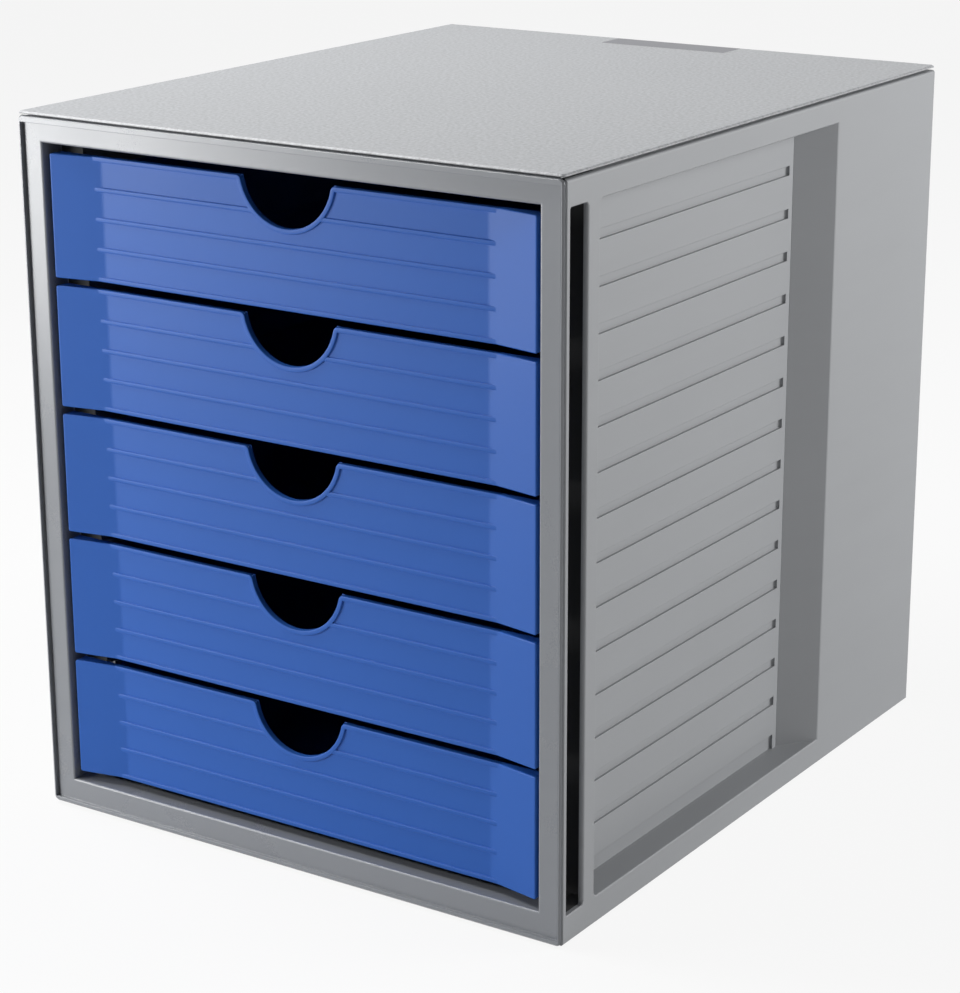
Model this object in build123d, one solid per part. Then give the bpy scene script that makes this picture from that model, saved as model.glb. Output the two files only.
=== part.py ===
"""Desk file box: a grey housing that holds five blue slide-out drawers.

The housing is a front frame, two side panels with deep recesses, two corrugated
runner walls that show in those recesses, a back, a bottom and a lid. Each drawer
hangs by its side flanges on one ridge of each runner wall.

Millimetres. X runs to the right, Y to the back, Z up. The origin is on the surface
that the box stands on, below the centre of the box.
"""

from build123d import *
import os

os.makedirs("parts", exist_ok=True)

# ---------------------------------------------------------------- overall size
WIDTH = 275.0
DEPTH = 330.0
HEIGHT = 320.0
FOOT_PROUD = 1.0  # the feet lift the shell this far off the desk

# ------------------------------------------------------------------- outer shell
SKIN = 2.0  # side panel thickness
SKIN_FRONT = 1.3  # side panel thickness ahead of the slot
SKIN_EDGE = 1.2  # rounding along the top of a side panel
SKIN_SMALL_EDGE = 0.5  # edge break along its front, rear and lower edges
PANEL_SETBACK = 2.0  # side panels start this far behind the front
SIDE_FLANGE = 10.5  # width of the side panel's top flange, from outside
FLANGE_THICKNESS = 2.0

LID_THICKNESS = 2.4
LID_LIP = 1.0  # thickness of the lid's overhanging edge
LID_OVERHANG = 3.5
LID_CORNER = 2.0
LID_EDGE = 0.7
LID_FRONT_SEAM = 0.6  # dark line between the lid and the front frame

BOTTOM_THICKNESS = 2.5
BACK_THICKNESS = 2.4
BACK_INSET = 0.3  # the back lies this far inside the rear edges
PANEL_FIT = 0.1  # slack round the bottom and back panels

# ------------------------------------------------------------------- front frame
FRAME_CORNER = 2.5
BORDER_SIDE = 11.7
BORDER_TOP = 13.0
BORDER_BOTTOM = 13.4
RIM_SIDE = 1.3
RIM_TOP = 3.0
RIM_BOTTOM = 2.2
RIM_PROUD = 1.7  # the rim stands this far ahead of the flat face
RIM_EDGE = 0.8
RIM_LIP = 0.8  # thickness of the rim ahead of the seam groove
SEAM_DEPTH = 0.6  # depth of the groove round the frame
SLIT = 1.1  # gap between the side rim and the flat face
FACE_THICKNESS = 2.2
RETURN_THICKNESS = 1.8
RETURN_DEPTH = 13.0  # how far the opening's walls run back
OPENING_EDGE = 0.9

# ------------------------------------------------------ side slot and side recess
SIDE_BOTTOM = 13.2  # lower edge of the slot and of the recess
SIDE_TOP_MARGIN = 13.3  # from their upper edge to the top of the lid
SLOT_START = 4.8  # from the front
SLOT_WIDTH = 12.6
SLOT_CORNER = 1.2
SLOT_ROLL = 1.4  # rounding along the rear edge of the slot
RECESS_START = 26.5
RECESS_LENGTH = 203.5
RECESS_DEPTH = 12.5
RECESS_SLANT = 18.5  # how far the rear wall of the recess runs forward
RECESS_CORNER = 2.5
RECESS_WALL = 1.8
OPEN_EDGE = 0.4  # edge break round the slot and the recess

# ------------------------------------------------------------------- runner walls
RUNNER_WALL = 1.8
RIDGES_PER_DRAWER = 3
RIDGE_HEIGHT = 4.3
RIDGE_PROUD = 3.0
RIDGE_EDGE = 0.5
CHANNEL_DEPTH = 1.4
CHANNEL_END_GAP = 3.5  # channels stop this far short of the slanted wall
RIDGE_DROP = 1.2  # a drawer's lowest ridge lies this far below its front

# ------------------------------------------------------------------------ drawers
DRAWER_COUNT = 5
DRAWER_GAP = 3.5  # between one drawer front and the next
GAP_BELOW = 4.0  # between the lowest drawer front and the frame
GAP_ABOVE = 4.5  # between the highest drawer front and the frame
GAP_BESIDE = 2.2  # between a drawer front and the frame, each side
FRONT_THICKNESS = 2.0
WING_SETBACK = 1.4  # outer ends of a drawer front, behind the frame's face
MIDDLE_SETBACK = 6.2  # flat middle of a drawer front, behind the frame's face
WING_WIDTH = 25.2
WING_BLEND = 12.0  # radius between the middle and a wing
FRONT_END_EDGE = 1.0
FRONT_CORNER = 1.2
FRONT_EDGE = 0.35  # edge break of the raised border

RIB_COUNT = 5  # the raised border along the top counts as one
RIB_HEIGHT = 2.1
RIB_PROUD = 0.75
RIB_FLANK = 0.35  # height of a rib's upright flanks
RIB_SINK = 5.0  # a rib runs this far past the foot of a wing

GRIP_RADIUS = 23.4
GRIP_RISE = 3.4  # the grip's centre lies this far above the drawer front
GRIP_RIM = 2.1

TRAY_WALL = 1.8
TRAY_CLEARANCE = 0.5  # between a tray and the ridges
TRAY_LIFT = 1.0  # tray underside above the lower edge of its front
TRAY_REAR_GAP = 0.5
TRAY_CORNER = 5.0
TRAY_FLOOR_EDGE = 2.0  # slope between the floor and the walls
HANGER_THICKNESS = 1.8  # side flange that slides on a ridge
HANGER_GAP = 0.1
HANGER_SLACK = 0.5  # between a flange and the runner wall

# --------------------------------------------------------------- pull-out stops
STOP_HEIGHT = 2.6
STOP_LENGTH = 4.0
STOP_START = 2.0  # from the front end of the runner wall
STOP_GAP = 0.5  # above the flange, and between the stops when pulled out
LUG_FROM_REAR = 38.0  # from the rear of the tray to the back of its stop lug

# ----------------------------------------------------------- name plate and feet
PLATE_WIDTH = 69.0
PLATE_DEPTH = 17.6
PLATE_THICKNESS = 0.6
PLATE_FROM_REAR = 1.3
PLATE_CORNER = 0.8
PLATE_FIT = 0.1
FOOT_DIAMETER = 14.0
FOOT_SUNK = 0.6
FOOT_FIT = 0.15
FOOT_INSET = 22.0

# ------------------------------------------------------------- worked-out places
FRONT = -DEPTH / 2
REAR = DEPTH / 2
HALF = WIDTH / 2
SKIN_INNER = HALF - SKIN
PANEL_FRONT = FRONT + PANEL_SETBACK
PANEL_TOP = HEIGHT - LID_THICKNESS
FRAME_TOP = HEIGHT - LID_LIP - LID_FRONT_SEAM
FACE_Y = FRONT + RIM_PROUD
OPENING_HALF = HALF - BORDER_SIDE
OPENING_LOW = BORDER_BOTTOM
OPENING_HIGH = HEIGHT - BORDER_TOP
RETURN_END = FRONT + RETURN_DEPTH
FLOOR_TOP = FOOT_PROUD + BOTTOM_THICKNESS
BACK_FACE = REAR - BACK_INSET - BACK_THICKNESS

SIDE_HIGH = HEIGHT - SIDE_TOP_MARGIN
SLOT_FRONT = FRONT + SLOT_START
SLOT_REAR = SLOT_FRONT + SLOT_WIDTH
RECESS_FRONT = FRONT + RECESS_START
RECESS_REAR = RECESS_FRONT + RECESS_LENGTH
RECESS_INNER_REAR = RECESS_REAR - RECESS_SLANT
RUNNER_FRONT = RECESS_FRONT - RECESS_WALL
RUNNER_OUTER = HALF - RECESS_DEPTH
RUNNER_INNER = RUNNER_OUTER - RUNNER_WALL
RIDGE_INNER = RUNNER_INNER - RIDGE_PROUD

FIRST_DRAWER = OPENING_LOW + GAP_BELOW
DRAWER_SPACE = OPENING_HIGH - GAP_ABOVE - FIRST_DRAWER
DRAWER_PITCH = (DRAWER_SPACE + DRAWER_GAP) / DRAWER_COUNT
RIDGE_PITCH = DRAWER_PITCH / RIDGES_PER_DRAWER
RIDGE_COUNT = DRAWER_COUNT * RIDGES_PER_DRAWER
LOWEST_RIDGE = FIRST_DRAWER - RIDGE_DROP

MIDDLE_Y = FACE_Y + MIDDLE_SETBACK
WING_Y = FACE_Y + WING_SETBACK
FRONT_BACK = MIDDLE_Y + FRONT_THICKNESS
FRONT_HALF = OPENING_HALF - GAP_BESIDE
FRONT_HEIGHT = DRAWER_PITCH - DRAWER_GAP
RIB_PITCH = (FRONT_HEIGHT - (RIB_HEIGHT + GRIP_RIM) / 2) / (RIB_COUNT - 1)
WING_ROOT = FRONT_HALF - WING_WIDTH
WING_SLOPE = (MIDDLE_SETBACK - WING_SETBACK) / WING_WIDTH
RIB_END = WING_ROOT + RIB_SINK
TRAY_HALF = RIDGE_INNER - TRAY_CLEARANCE
TRAY_REAR = BACK_FACE - TRAY_REAR_GAP
HANGER_HALF = RUNNER_INNER - HANGER_SLACK
# heights above the lower edge of a drawer front
HANGER_LOW = (
    LOWEST_RIDGE - FIRST_DRAWER + (RIDGES_PER_DRAWER - 1) * RIDGE_PITCH + RIDGE_HEIGHT + HANGER_GAP
)
HANGER_HIGH = HANGER_LOW + HANGER_THICKNESS
STOP_FRONT = RUNNER_FRONT + STOP_START
STOP_REAR = STOP_FRONT + STOP_LENGTH
LUG_FRONT = TRAY_REAR - LUG_FROM_REAR - STOP_LENGTH
DRAWER_TRAVEL = LUG_FRONT - STOP_REAR - STOP_GAP

RIGHT = 1
LEFT = -1


# ----------------------------------------------------------------------- helpers
def block(x, y, z):
    """Return a block between the low and high values of x, y and z."""
    centre = [(low + high) / 2 for low, high in (x, y, z)]
    size = [high - low for low, high in (x, y, z)]
    return Pos(*centre) * Box(*size)


def prism_up(outline, low, high):
    """Extrude a plan outline, a list of (x, y), between two heights."""
    points = [(x, y, low) for x, y in outline]
    face = make_face(Polyline(*points, close=True))
    return extrude(face, high - low, dir=(0, 0, 1))


def prism_across(section, half):
    """Extrude a cross-section, a list of (y, z), to both sides of the centre."""
    points = [(-half, y, z) for y, z in section]
    face = make_face(Polyline(*points, close=True))
    return extrude(face, 2 * half, dir=(1, 0, 0))


def prism_back(section, front, rear):
    """Extrude a cross-section, a list of (x, z), from front to rear."""
    points = [(x, front, z) for x, z in section]
    face = make_face(Polyline(*points, close=True))
    return extrude(face, rear - front, dir=(0, 1, 0))


def upright(sketch, y, z, depth):
    """Stand a sketch up at depth y and height z, and extrude it to the back."""
    plane = Plane(origin=(0, y, z), x_dir=(1, 0, 0), z_dir=(0, -1, 0))
    return extrude(plane * sketch, depth, dir=(0, 1, 0))


def edges_at(part, direction, **place):
    """Return the edges along an axis whose middle has the given X, Y or Z."""
    picked = part.edges().filter_by(direction)
    for name, value in place.items():
        picked = picked.filter_by(lambda edge: abs(getattr(edge.center(), name) - value) < 0.02)
    return picked


def mirrored(part, side):
    """Return a part made for the right side, or its left-hand twin."""
    return part if side == RIGHT else mirror(part, about=Plane.YZ)


# ------------------------------------------------------------------- front frame
def front_frame():
    """The one-piece front: rim, flat face, slits and the walls of the opening."""
    height = FRAME_TOP - FOOT_PROUD
    middle = (FRAME_TOP + FOOT_PROUD) / 2
    frame = upright(RectangleRounded(WIDTH, height, FRAME_CORNER), FRONT, middle, PANEL_SETBACK)
    frame = chamfer(frame.faces().sort_by(Axis.Y)[0].edges(), RIM_EDGE)

    core = RectangleRounded(WIDTH - 2 * SEAM_DEPTH, height - 2 * SEAM_DEPTH, FRAME_CORNER - SEAM_DEPTH)
    rim_back = upright(RectangleRounded(WIDTH, height, FRAME_CORNER) - core, FRONT + RIM_LIP, middle, DEPTH)
    frame -= rim_back

    rim_inner = HALF - RIM_SIDE
    rim_low = FOOT_PROUD + RIM_BOTTOM
    rim_high = FRAME_TOP - RIM_TOP
    face_half = rim_inner - SLIT
    frame += block(
        (-face_half, face_half),
        (FRONT + RIM_LIP, FACE_Y + FACE_THICKNESS),
        (FOOT_PROUD + SEAM_DEPTH, FRAME_TOP - SEAM_DEPTH - RIM_TOP / 2),
    )
    frame -= block((-rim_inner, rim_inner), (FRONT, FACE_Y), (rim_low, rim_high))
    for side in (LEFT, RIGHT):
        slit_centre = side * (rim_inner - SLIT / 2)
        slit_x = (slit_centre - SLIT / 2, slit_centre + SLIT / 2)
        frame -= block(slit_x, (FRONT, FRONT + RETURN_DEPTH), (rim_low, rim_high))

    opening_height = OPENING_HIGH - OPENING_LOW
    opening_middle = (OPENING_HIGH + OPENING_LOW) / 2
    opening = Rectangle(2 * OPENING_HALF, opening_height)
    walls = Rectangle(2 * (OPENING_HALF + RETURN_THICKNESS), opening_height + 2 * RETURN_THICKNESS)
    frame += upright(walls, FACE_Y, opening_middle, RETURN_DEPTH - RIM_PROUD)
    frame -= upright(opening, FRONT, opening_middle, RETURN_DEPTH)
    mouth = frame.edges().filter_by(
        lambda edge: abs(edge.center().Y - FACE_Y) < 0.02
        and abs(edge.center().X) < OPENING_HALF + 0.1
        and OPENING_LOW - 0.1 < edge.center().Z < OPENING_HIGH + 0.1
    )
    return fillet(mouth, OPENING_EDGE)


# ------------------------------------------------------------------- side panels
def recess_outline(grow):
    """Plan outline of the side recess, grown by a wall where one stands."""
    outer = HALF + 1.0
    lean = RECESS_SLANT / RECESS_DEPTH
    return [
        (RUNNER_OUTER, RECESS_FRONT - grow),
        (outer, RECESS_FRONT - grow),
        (outer, RECESS_REAR + lean * (outer - HALF) + grow),
        (RUNNER_OUTER, RECESS_INNER_REAR + grow),
    ]


def slot_roll():
    """Material taken off along the rear edge of the slot to round it."""
    heart = (HALF - SLOT_ROLL, SLOT_REAR + SLOT_ROLL)
    low = SIDE_BOTTOM + SLOT_CORNER
    high = SIDE_HIGH - SLOT_CORNER
    strip = block((HALF - SLOT_ROLL, HALF), (SLOT_REAR, SLOT_REAR + SLOT_ROLL), (low, high))
    return strip - Pos(*heart, (low + high) / 2) * Cylinder(SLOT_ROLL, high - low)


def side_panel(side):
    """Side cover with its long slot and the walls that sink the deep recess."""
    flange_x = HALF - SIDE_FLANGE
    section = [
        (SKIN_INNER, FOOT_PROUD),
        (HALF, FOOT_PROUD),
        (HALF, PANEL_TOP),
        (flange_x, PANEL_TOP),
        (flange_x, PANEL_TOP - FLANGE_THICKNESS),
        (SKIN_INNER, PANEL_TOP - FLANGE_THICKNESS),
    ]
    panel = prism_back(section, PANEL_FRONT, REAR)
    panel = fillet(edges_at(panel, Axis.Y, X=HALF, Z=PANEL_TOP), SKIN_EDGE)
    panel = chamfer(edges_at(panel, Axis.Y, X=HALF, Z=FOOT_PROUD), SKIN_SMALL_EDGE)
    panel = chamfer(edges_at(panel, Axis.Z, X=HALF, Y=REAR), SKIN_SMALL_EDGE)
    panel = chamfer(edges_at(panel, Axis.Z, X=HALF, Y=PANEL_FRONT), SKIN_SMALL_EDGE)

    # the flange stops short of the frame's face and of the back
    frame_rear = FACE_Y + FACE_THICKNESS + PANEL_FIT
    panel -= block((0, HALF - SKIN_FRONT), (FRONT, frame_rear), (FOOT_PROUD, HEIGHT))
    panel -= block((0, SKIN_INNER), (BACK_FACE, REAR), (FOOT_PROUD, HEIGHT))
    panel -= block(
        (SKIN_INNER - 1, HALF - SKIN_FRONT), (PANEL_FRONT, SLOT_FRONT + 1), (SIDE_BOTTOM, SIDE_HIGH)
    )

    # walls behind the skin: the recess, and a floor and a ceiling behind the slot
    cavity_inner = OPENING_HALF + RETURN_THICKNESS + PANEL_FIT
    shelf = (SLOT_FRONT, RECESS_FRONT)
    wall_low = SIDE_BOTTOM - RECESS_WALL
    wall_high = SIDE_HIGH + RECESS_WALL
    walls = prism_up(recess_outline(RECESS_WALL), wall_low, wall_high)
    walls += block((cavity_inner, SKIN_INNER), shelf, (wall_low, SIDE_BOTTOM))
    walls += block((cavity_inner, SKIN_INNER), shelf, (SIDE_HIGH, wall_high))
    walls &= block((RUNNER_OUTER, SKIN_INNER + SKIN / 2), (FRONT, REAR), (wall_low, wall_high))
    panel += walls

    hollow = prism_up(recess_outline(0), SIDE_BOTTOM, SIDE_HIGH)
    hollow = fillet(hollow.edges().filter_by(Axis.X), RECESS_CORNER)
    panel -= hollow
    slot = block((SKIN_INNER - 1, HALF + 1), (SLOT_FRONT, SLOT_REAR), (SIDE_BOTTOM, SIDE_HIGH))
    panel -= fillet(slot.edges().filter_by(Axis.X), SLOT_CORNER)
    rims = panel.edges().filter_by(
        lambda edge: abs(edge.center().X - HALF) < 0.02
        and SLOT_FRONT - 0.1 < edge.center().Y < RECESS_REAR + 0.1
        and SIDE_BOTTOM - 0.1 < edge.center().Z < SIDE_HIGH + 0.1
    )
    return mirrored(chamfer(rims, OPEN_EDGE) - slot_roll(), side)


# ------------------------------------------------------------------ runner walls
def channel(low, high):
    """Material taken from the outside of one ridge, with a rounded rear end."""
    end = RECESS_INNER_REAR - CHANNEL_END_GAP
    deep = RUNNER_OUTER - CHANNEL_DEPTH
    cut = block((deep, RUNNER_OUTER + 1), (RECESS_FRONT - RECESS_WALL / 2, end), (low, high))
    return fillet(edges_at(cut, Axis.Z, X=deep, Y=end), CHANNEL_DEPTH * 0.9)


def runner_wall(side):
    """Corrugated wall: ridges inside that carry drawers, cored from outside.

    The lowest ridge and its channel run down to the floor of the side recess.
    """
    top = PANEL_TOP
    section = [(RUNNER_INNER, FLOOR_TOP), (RUNNER_OUTER, FLOOR_TOP), (RUNNER_OUTER, top), (RUNNER_INNER, top)]
    wall = prism_back(section, RUNNER_FRONT, BACK_FACE)
    for index in range(RIDGE_COUNT):
        low = LOWEST_RIDGE + index * RIDGE_PITCH
        high = low + RIDGE_HEIGHT
        if index == 0:
            low = SIDE_BOTTOM
        ridge = [
            (RUNNER_INNER, low),
            (RIDGE_INNER + RIDGE_EDGE, low),
            (RIDGE_INNER, low + RIDGE_EDGE),
            (RIDGE_INNER, high),
            (RUNNER_INNER, high),
        ]
        wall += prism_back(ridge, RUNNER_FRONT, BACK_FACE)
        wall -= channel(low, high)
    for index in range(DRAWER_COUNT):
        stop_low = FIRST_DRAWER + index * DRAWER_PITCH + HANGER_HIGH + STOP_GAP
        wall += block(
            (RIDGE_INNER, RUNNER_INNER),
            (STOP_FRONT, STOP_REAR),
            (stop_low, stop_low + STOP_HEIGHT),
        )
    return mirrored(wall, side)


# --------------------------------------------------------- lid, bottom and back
def top_panel():
    """Lid with a thin overhanging edge and a shallow seat for the name plate."""
    lid = extrude(Pos(0, 0, PANEL_TOP) * RectangleRounded(WIDTH, DEPTH, LID_CORNER), LID_THICKNESS)
    lid = chamfer(lid.faces().sort_by(Axis.Z)[-1].edges(), LID_EDGE)
    seat_half = HALF - LID_OVERHANG
    under = block((-HALF, HALF), (FRONT, REAR), (PANEL_TOP, HEIGHT - LID_LIP))
    under -= block(
        (-seat_half, seat_half),
        (FRONT + LID_OVERHANG, REAR - LID_OVERHANG),
        (PANEL_TOP, HEIGHT - LID_LIP),
    )
    lid -= under
    seat = RectangleRounded(
        PLATE_WIDTH + 2 * PLATE_FIT, PLATE_DEPTH + 2 * PLATE_FIT, PLATE_CORNER + PLATE_FIT
    )
    return lid - extrude(Pos(0, plate_centre(), HEIGHT - PLATE_THICKNESS) * seat, PLATE_THICKNESS)


def plate_centre():
    """Depth of the name plate's centre."""
    return REAR - PLATE_FROM_REAR - PLATE_DEPTH / 2


def name_plate():
    """Bare dark plate, let in flush near the rear edge of the lid."""
    outline = RectangleRounded(PLATE_WIDTH, PLATE_DEPTH, PLATE_CORNER)
    return extrude(Pos(0, plate_centre(), HEIGHT - PLATE_THICKNESS) * outline, PLATE_THICKNESS)


def foot_places():
    """Centres of the four feet, front left first."""
    across = HALF - FOOT_INSET
    along = DEPTH / 2 - FOOT_INSET
    return {
        "foot_front_left": (-across, -along),
        "foot_front_right": (across, -along),
        "foot_rear_left": (-across, along),
        "foot_rear_right": (across, along),
    }


def bottom_panel():
    """Floor plate between the side panels, with four seats for the feet."""
    half = SKIN_INNER - PANEL_FIT
    front = FACE_Y + FACE_THICKNESS + PANEL_FIT
    rear = BACK_FACE - PANEL_FIT
    floor = block((-half, half), (front, rear), (FOOT_PROUD, FLOOR_TOP))
    for x, y in foot_places().values():
        seat = Cylinder(FOOT_DIAMETER / 2 + FOOT_FIT, FOOT_SUNK)
        floor -= Pos(x, y, FOOT_PROUD + FOOT_SUNK / 2) * seat
    return floor


def foot(x, y):
    """One round rubber foot."""
    height = FOOT_PROUD + FOOT_SUNK
    return Pos(x, y, height / 2) * Cylinder(FOOT_DIAMETER / 2, height)


def back_panel():
    """Plain back between the side panels."""
    half = SKIN_INNER - PANEL_FIT
    return block((-half, half), (BACK_FACE, BACK_FACE + BACK_THICKNESS), (FOOT_PROUD, PANEL_TOP))


# ----------------------------------------------------------------------- drawers
def drawer_shell():
    """Drawer front with its flat middle and forward wings, cored behind."""
    outline = [
        (-FRONT_HALF, WING_Y),
        (-WING_ROOT, MIDDLE_Y),
        (WING_ROOT, MIDDLE_Y),
        (FRONT_HALF, WING_Y),
        (FRONT_HALF, FRONT_BACK),
        (-FRONT_HALF, FRONT_BACK),
    ]
    front = prism_up(outline, 0, FRONT_HEIGHT)
    for side in (LEFT, RIGHT):
        front = fillet(edges_at(front, Axis.Z, X=side * WING_ROOT, Y=MIDDLE_Y), WING_BLEND)
        front = fillet(edges_at(front, Axis.Z, X=side * FRONT_HALF, Y=WING_Y), FRONT_END_EDGE)
    face = Pos(0, FRONT_HEIGHT / 2) * RectangleRounded(2 * FRONT_HALF, FRONT_HEIGHT, FRONT_CORNER)
    return front & upright(face, FRONT, 0, FRONT_BACK - FRONT)


def wing_core(side):
    """Hollow behind a wing that keeps the wall thickness of the front."""
    inner = WING_ROOT
    outer = FRONT_HALF - FRONT_THICKNESS
    outline = [
        (side * inner, FRONT_BACK),
        (side * outer, FRONT_BACK - WING_SLOPE * (outer - inner)),
        (side * outer, FRONT_BACK),
    ]
    return prism_up(outline, FRONT_THICKNESS, FRONT_HEIGHT - FRONT_THICKNESS)


def drawer_rib(centre):
    """Horizontal rib: a bead with upright flanks and a rounded crest."""
    low = centre - RIB_HEIGHT / 2
    high = centre + RIB_HEIGHT / 2
    back = MIDDLE_Y + FRONT_THICKNESS / 2
    flank = MIDDLE_Y - RIB_FLANK
    sides = [(-RIB_END, y, z) for y, z in ((flank, high), (back, high), (back, low), (flank, low))]
    crest = ThreePointArc(sides[3], (-RIB_END, MIDDLE_Y - RIB_PROUD, centre), sides[0])
    return extrude(make_face(Polyline(*sides) + crest), 2 * RIB_END, dir=(1, 0, 0))


def grip_circle(radius):
    """Circle of the finger grip, in a drawer's own height."""
    return Pos(0, FRONT_HEIGHT + GRIP_RISE) * Circle(radius)


def grip_rim():
    """Raised border that runs along the top edge and dips round the grip."""
    strip = Pos(0, FRONT_HEIGHT - GRIP_RIM / 2) * Rectangle(2 * RIB_END, GRIP_RIM)
    below = Pos(0, FRONT_HEIGHT / 2) * Rectangle(2 * RIB_END, FRONT_HEIGHT)
    border = strip + (grip_circle(GRIP_RADIUS + GRIP_RIM) & below)
    return upright(border, MIDDLE_Y - RIB_PROUD, 0, RIB_PROUD + FRONT_THICKNESS / 2)


def tray():
    """Tray behind the front, with side flanges that hang it on the ridges."""
    front = MIDDLE_Y + FRONT_THICKNESS / 2
    outer = block((-TRAY_HALF, TRAY_HALF), (front, TRAY_REAR), (TRAY_LIFT, HANGER_HIGH))
    for side in (LEFT, RIGHT):
        outer = fillet(edges_at(outer, Axis.Z, X=side * TRAY_HALF, Y=TRAY_REAR), TRAY_CORNER)
    for side in (LEFT, RIGHT):
        flange_x = sorted((side * (TRAY_HALF - TRAY_WALL), side * HANGER_HALF))
        outer += block(flange_x, (front, TRAY_REAR - TRAY_CORNER), (HANGER_LOW, HANGER_HIGH))
        lug_y = (LUG_FRONT, LUG_FRONT + STOP_LENGTH)
        outer += block(flange_x, lug_y, (HANGER_HIGH, HANGER_HIGH + STOP_HEIGHT))
    return outer


def tray_hollow():
    """Space inside a tray, with rounded corners and sloped floor edges."""
    half = TRAY_HALF - TRAY_WALL
    rear = TRAY_REAR - TRAY_WALL
    floor = TRAY_LIFT + TRAY_WALL
    space = block((-half, half), (FRONT_BACK, rear), (floor, HEIGHT))
    space = fillet(edges_at(space, Axis.Z, Y=rear), TRAY_CORNER - TRAY_WALL)
    return chamfer(space.faces().sort_by(Axis.Z)[0].edges(), TRAY_FLOOR_EDGE)


def drawer():
    """One drawer, its front's lower edge at height zero."""
    body = drawer_shell()
    for index in range(RIB_COUNT - 1):
        body += drawer_rib(RIB_HEIGHT / 2 + index * RIB_PITCH)
    body += grip_rim()
    for side in (LEFT, RIGHT):
        body -= wing_core(side)
    body += tray()
    body -= tray_hollow()
    body -= upright(grip_circle(GRIP_RADIUS), FRONT, 0, FRONT_BACK - FRONT)
    crest_y = MIDDLE_Y - RIB_PROUD
    top_edges = edges_at(body, Axis.X, Y=crest_y, Z=FRONT_HEIGHT)
    grip_edges = body.edges().filter_by(GeomType.CIRCLE).filter_by(
        lambda edge: abs(edge.center().Y - crest_y) < 0.02 and abs(edge.radius - GRIP_RADIUS) < 0.02
    )
    return chamfer(top_edges + grip_edges, FRONT_EDGE)


# ------------------------------------------------------------------------- build
def build():
    """Make every piece in its place, by name."""
    pieces = {
        "front_frame": front_frame(),
        "left_side_panel": side_panel(LEFT),
        "right_side_panel": side_panel(RIGHT),
        "left_runner_wall": runner_wall(LEFT),
        "right_runner_wall": runner_wall(RIGHT),
        "top_panel": top_panel(),
        "bottom_panel": bottom_panel(),
        "back_panel": back_panel(),
        "name_plate": name_plate(),
    }
    for name, (x, y) in foot_places().items():
        pieces[name] = foot(x, y)
    plain_drawer = drawer()
    for index in range(DRAWER_COUNT):
        height = FIRST_DRAWER + (DRAWER_COUNT - 1 - index) * DRAWER_PITCH
        pieces[f"drawer_{index + 1}"] = Pos(0, 0, height) * plain_drawer
    return pieces


print(f"each drawer pulls out {DRAWER_TRAVEL:.1f} mm")
for piece_name, piece in build().items():
    solid = piece.solids()[0] if len(piece.solids()) == 1 else piece
    solid.label = piece_name
    export_step(solid, f"parts/{piece_name}.step")
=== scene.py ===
"""Looks of a desk file box: a grey housing with five blue slide-out drawers.

Lengths are in metres, in the frame of the solid model: X to the right of someone
who faces the drawers, Y to the back, Z up from the desk.
"""

import logging
import math
from dataclasses import dataclass
from enum import Enum
from typing import Any, Iterable

import bmesh
import bpy
from mathutils import Euler, Matrix, Vector


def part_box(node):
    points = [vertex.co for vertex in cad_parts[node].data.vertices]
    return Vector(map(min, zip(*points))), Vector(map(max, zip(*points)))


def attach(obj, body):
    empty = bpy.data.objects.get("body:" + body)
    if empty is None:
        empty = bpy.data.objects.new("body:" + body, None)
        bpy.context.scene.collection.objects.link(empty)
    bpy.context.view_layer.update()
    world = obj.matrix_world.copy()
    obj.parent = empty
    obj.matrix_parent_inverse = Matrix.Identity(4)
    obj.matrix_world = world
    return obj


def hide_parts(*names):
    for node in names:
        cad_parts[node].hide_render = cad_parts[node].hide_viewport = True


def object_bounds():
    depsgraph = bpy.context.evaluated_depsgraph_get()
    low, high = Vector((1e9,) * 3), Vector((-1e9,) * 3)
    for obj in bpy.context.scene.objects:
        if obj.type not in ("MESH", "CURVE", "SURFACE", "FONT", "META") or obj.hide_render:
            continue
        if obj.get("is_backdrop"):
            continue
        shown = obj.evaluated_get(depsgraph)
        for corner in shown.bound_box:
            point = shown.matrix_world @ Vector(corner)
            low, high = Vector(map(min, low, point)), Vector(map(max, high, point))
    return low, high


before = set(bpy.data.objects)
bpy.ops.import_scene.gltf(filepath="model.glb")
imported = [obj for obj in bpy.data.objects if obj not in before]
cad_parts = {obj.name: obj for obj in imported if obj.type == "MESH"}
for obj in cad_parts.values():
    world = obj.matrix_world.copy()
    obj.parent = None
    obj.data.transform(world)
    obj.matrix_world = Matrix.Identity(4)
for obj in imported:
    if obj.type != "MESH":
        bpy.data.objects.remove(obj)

LOG = logging.getLogger("file_box")
MM = 0.001

Colour = tuple[float, float, float]
Socket = bpy.types.NodeSocket


class Slot(Enum):
    """Finishes that the record names."""

    FRAME = "frame_plastic"
    SHELL = "shell_plastic"
    RUNNER = "runner_plastic"
    LID = "lid_plastic"
    DRAWER = "drawer_plastic"
    PLATE = "plate_plastic"
    FOOT = "foot_rubber"


def linear(red: int, green: int, blue: int) -> Colour:
    """Turn an 8-bit display colour into scene-linear values.

    Args:
        red: Red from 0 to 255.
        green: Green from 0 to 255.
        blue: Blue from 0 to 255.

    Returns:
        The same colour, scene-linear.
    """

    def channel(value: int) -> float:
        """Undo the display curve of one channel."""
        share = value / 255
        return share / 12.92 if share <= 0.04045 else ((share + 0.055) / 1.055) ** 2.4

    return channel(red), channel(green), channel(blue)


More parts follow.
